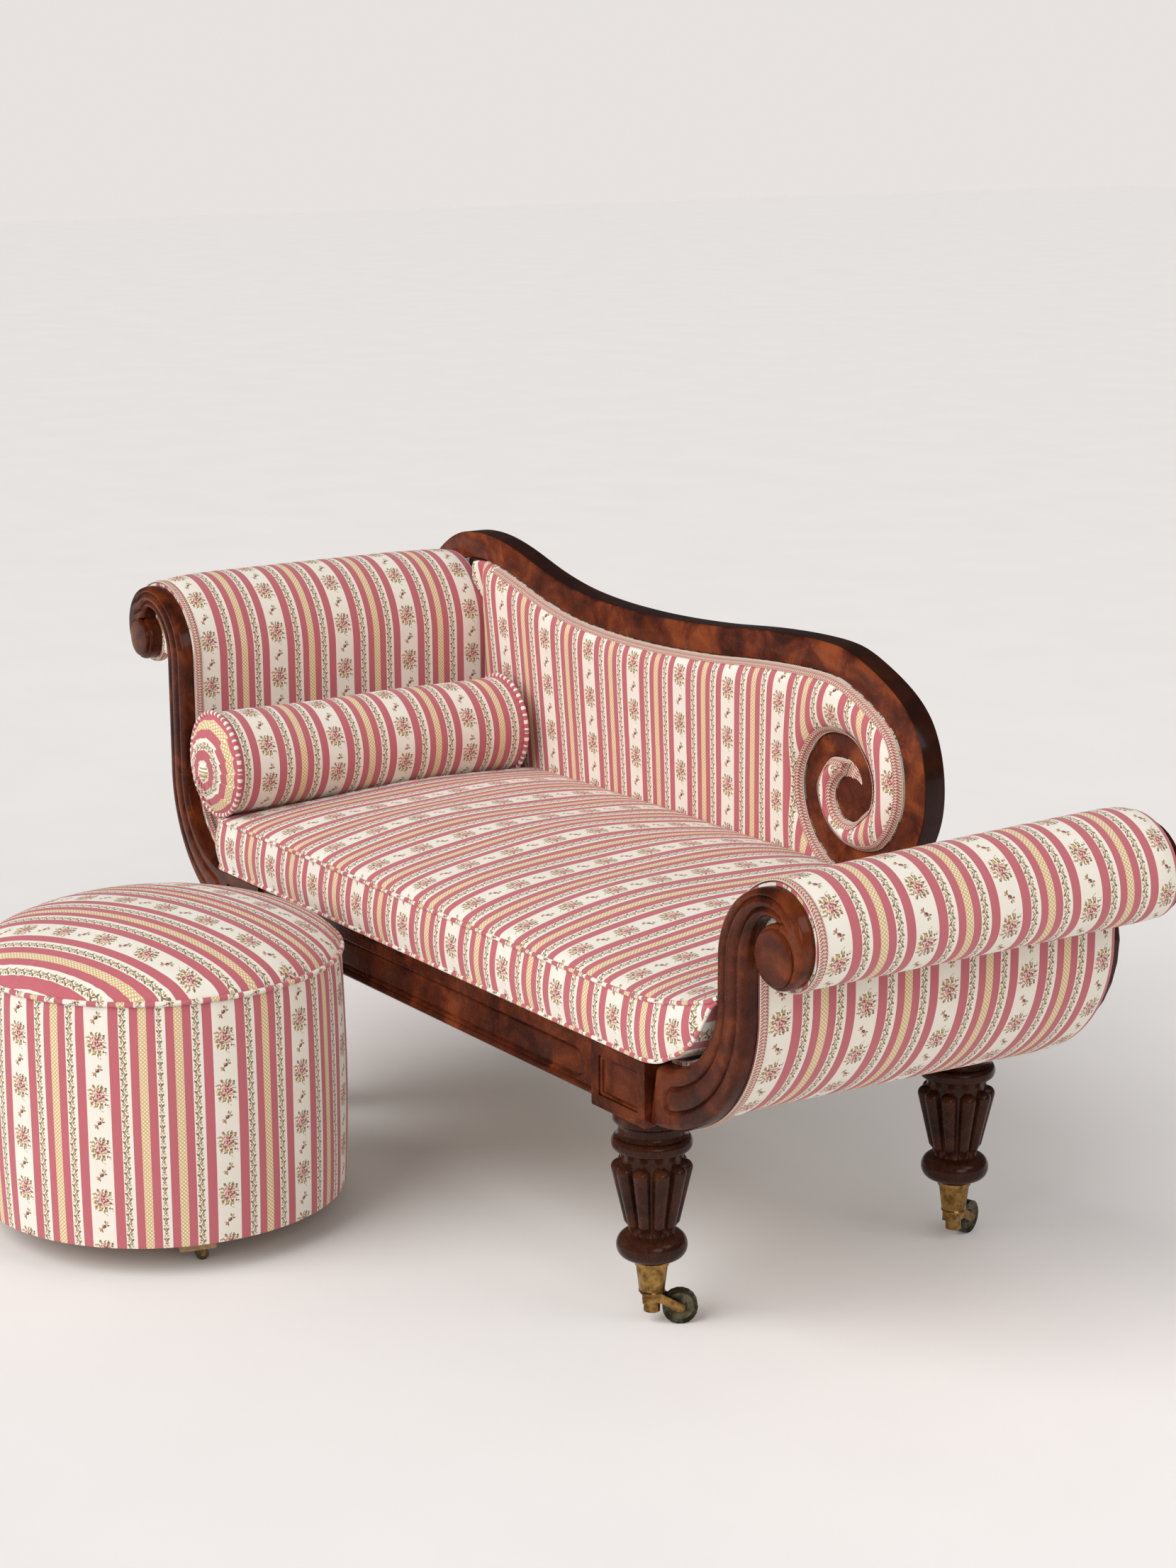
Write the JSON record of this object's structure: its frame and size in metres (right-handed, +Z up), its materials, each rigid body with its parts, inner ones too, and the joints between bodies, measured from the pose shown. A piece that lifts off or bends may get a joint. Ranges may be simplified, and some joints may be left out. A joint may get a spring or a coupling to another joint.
{
  "type": "chaise longue with pouf",
  "caption": "Scroll-ended chaise longue on reeded legs with brass casters, spiral show-wood back, loose seat cushion and bolster, and a matching round pouf on small casters.",
  "frame": {"origin": "centre of the whole set's footprint, at floor level", "axes": "+X from the head end to the foot end along the seat, +Y from the seat's front to its back, +Z up"},
  "size_m": [1.9096, 1.2376, 0.8877],
  "materials": {
    "mahogany": "polished dark mahogany",
    "beech": "unfinished beech",
    "striped_fabric": "striped woven fabric with small flower sprays",
    "lining_cloth": "plain cotton cloth",
    "jute_webbing": "jute webbing",
    "aged_brass": "aged brass",
    "dark_brass": "dark tarnished brass"
  },
  "bodies": {
    "frame": {"back_frame": "mahogany", "back_lining": "lining_cloth", "back_padding": "striped_fabric", "back_rail": "beech", "caster_cup_foot_back": "aged_brass", "caster_cup_foot_front": "aged_brass", "caster_cup_head_back": "aged_brass", "caster_cup_head_front": "aged_brass", "corner_block_foot_back": "mahogany", "corner_block_foot_front": "mahogany", "corner_block_head_back": "mahogany", "corner_block_head_front": "mahogany", "foot_padding": "striped_fabric", "foot_rail": "beech", "foot_roll_rail": "beech", "front_rail": "mahogany", "head_back_post": "mahogany", "head_padding": "striped_fabric", "head_rail": "beech", "head_roll_rail": "beech", "leg_foot_back": "mahogany", "leg_foot_front": "mahogany", "leg_head_back": "mahogany", "leg_head_front": "mahogany", "lower_back_rail": "beech", "scroll_foot_back": "mahogany", "scroll_foot_front": "mahogany", "scroll_head_front": "mahogany", "seat_platform": "lining_cloth", "seat_webbing": "jute_webbing", "spiral_post": "beech"},
    "bolster": {"bolster": "striped_fabric"},
    "swivel_foot_back": {"caster_fork_foot_back": "aged_brass"},
    "swivel_foot_front": {"caster_fork_foot_front": "aged_brass"},
    "swivel_head_back": {"caster_fork_head_back": "aged_brass"},
    "swivel_head_front": {"caster_fork_head_front": "aged_brass"},
    "roller_foot_back": {"caster_wheel_foot_back": "dark_brass"},
    "roller_foot_front": {"caster_wheel_foot_front": "dark_brass"},
    "roller_head_back": {"caster_wheel_head_back": "dark_brass"},
    "roller_head_front": {"caster_wheel_head_front": "dark_brass"},
    "pouf": {"pouf_base_board": "beech", "pouf_block_1": "beech", "pouf_block_2": "beech", "pouf_block_3": "beech", "pouf_block_4": "beech", "pouf_cover": "striped_fabric", "pouf_top": "striped_fabric"},
    "pouf_swivel_1": {"pouf_fork_1": "aged_brass"},
    "pouf_swivel_2": {"pouf_fork_2": "aged_brass"},
    "pouf_swivel_3": {"pouf_fork_3": "aged_brass"},
    "pouf_swivel_4": {"pouf_fork_4": "aged_brass"},
    "pouf_roller_1": {"pouf_wheel_1": "dark_brass"},
    "pouf_roller_2": {"pouf_wheel_2": "dark_brass"},
    "pouf_roller_3": {"pouf_wheel_3": "dark_brass"},
    "pouf_roller_4": {"pouf_wheel_4": "dark_brass"},
    "cushion": {"seat_cushion": "striped_fabric"}
  },
  "joints": [
    {"name": "cushion_lift", "type": "slide", "parent": "frame", "child": "cushion", "axis": [0, 0, 1], "range_m": [0, 0.3]},
    {"name": "bolster_lift", "type": "slide", "parent": "cushion", "child": "bolster", "axis": [0, 0, 1], "range_m": [0, 0.3]},
    {"name": "pouf_slide", "type": "slide", "parent": "frame", "child": "pouf", "axis": [0, -1, 0], "range_m": [0, 0.5]},
    {"name": "swivel_foot_front_turn", "type": "hinge", "parent": "frame", "child": "swivel_foot_front", "pos_m": [0.55057, 0.0172, 0], "axis": [0, 0, 1], "continuous": true},
    {"name": "roller_foot_front_spin", "type": "hinge", "parent": "swivel_foot_front", "child": "roller_foot_front", "pos_m": [0.57154, 0.04949, 0.02413], "axis": [-0.8387, 0.5446, 0], "continuous": true},
    {"name": "swivel_foot_back_turn", "type": "hinge", "parent": "frame", "child": "swivel_foot_back", "pos_m": [0.55057, 0.5572, 0], "axis": [0, 0, 1], "continuous": true},
    {"name": "roller_foot_back_spin", "type": "hinge", "parent": "swivel_foot_back", "child": "roller_foot_back", "pos_m": [0.5374, 0.59338, 0.02413], "axis": [-0.9397, -0.342, 0], "continuous": true},
    {"name": "swivel_head_front_turn", "type": "hinge", "parent": "frame", "child": "swivel_head_front", "pos_m": [-0.53443, 0.0172, 0], "axis": [0, 0, 1], "continuous": true},
    {"name": "roller_head_front_spin", "type": "hinge", "parent": "swivel_head_front", "child": "roller_head_front", "pos_m": [-0.49825, 0.00404, 0.02413], "axis": [0.342, 0.9397, 0], "continuous": true},
    {"name": "swivel_head_back_turn", "type": "hinge", "parent": "frame", "child": "swivel_head_back", "pos_m": [-0.53443, 0.5572, 0], "axis": [0, 0, 1], "continuous": true},
    {"name": "roller_head_back_spin", "type": "hinge", "parent": "swivel_head_back", "child": "roller_head_back", "pos_m": [-0.57061, 0.54404, 0.02413], "axis": [0.342, -0.9397, 0], "continuous": true},
    {"name": "pouf_swivel_1_turn", "type": "hinge", "parent": "pouf", "child": "pouf_swivel_1", "pos_m": [-0.00958, -0.39767, 0], "axis": [0, 0, 1], "continuous": true},
    {"name": "pouf_roller_1_spin", "type": "hinge", "parent": "pouf_swivel_1", "child": "pouf_roller_1", "pos_m": [-0.00699, -0.38801, 0.00932], "axis": [-0.9659, 0.2588, 0], "continuous": true},
    {"name": "pouf_swivel_2_turn", "type": "hinge", "parent": "pouf", "child": "pouf_swivel_2", "pos_m": [-0.15949, -0.13802, 0], "axis": [0, 0, 1], "continuous": true},
    {"name": "pouf_roller_2_spin", "type": "hinge", "parent": "pouf_swivel_2", "child": "pouf_roller_2", "pos_m": [-0.16934, -0.13976, 0.00932], "axis": [0.1736, -0.9848, 0], "continuous": true},
    {"name": "pouf_swivel_3_turn", "type": "hinge", "parent": "pouf", "child": "pouf_swivel_3", "pos_m": [-0.41913, -0.28793, 0], "axis": [0, 0, 1], "continuous": true},
    {"name": "pouf_roller_3_spin", "type": "hinge", "parent": "pouf_swivel_3", "child": "pouf_roller_3", "pos_m": [-0.42172, -0.29759, 0.00932], "axis": [0.9659, -0.2588, 0], "continuous": true},
    {"name": "pouf_swivel_4_turn", "type": "hinge", "parent": "pouf", "child": "pouf_swivel_4", "pos_m": [-0.26923, -0.54757, 0], "axis": [0, 0, 1], "continuous": true},
    {"name": "pouf_roller_4_spin", "type": "hinge", "parent": "pouf_swivel_4", "child": "pouf_roller_4", "pos_m": [-0.25983, -0.54415, 0.00932], "axis": [-0.342, 0.9397, 0], "continuous": true}
  ]
}
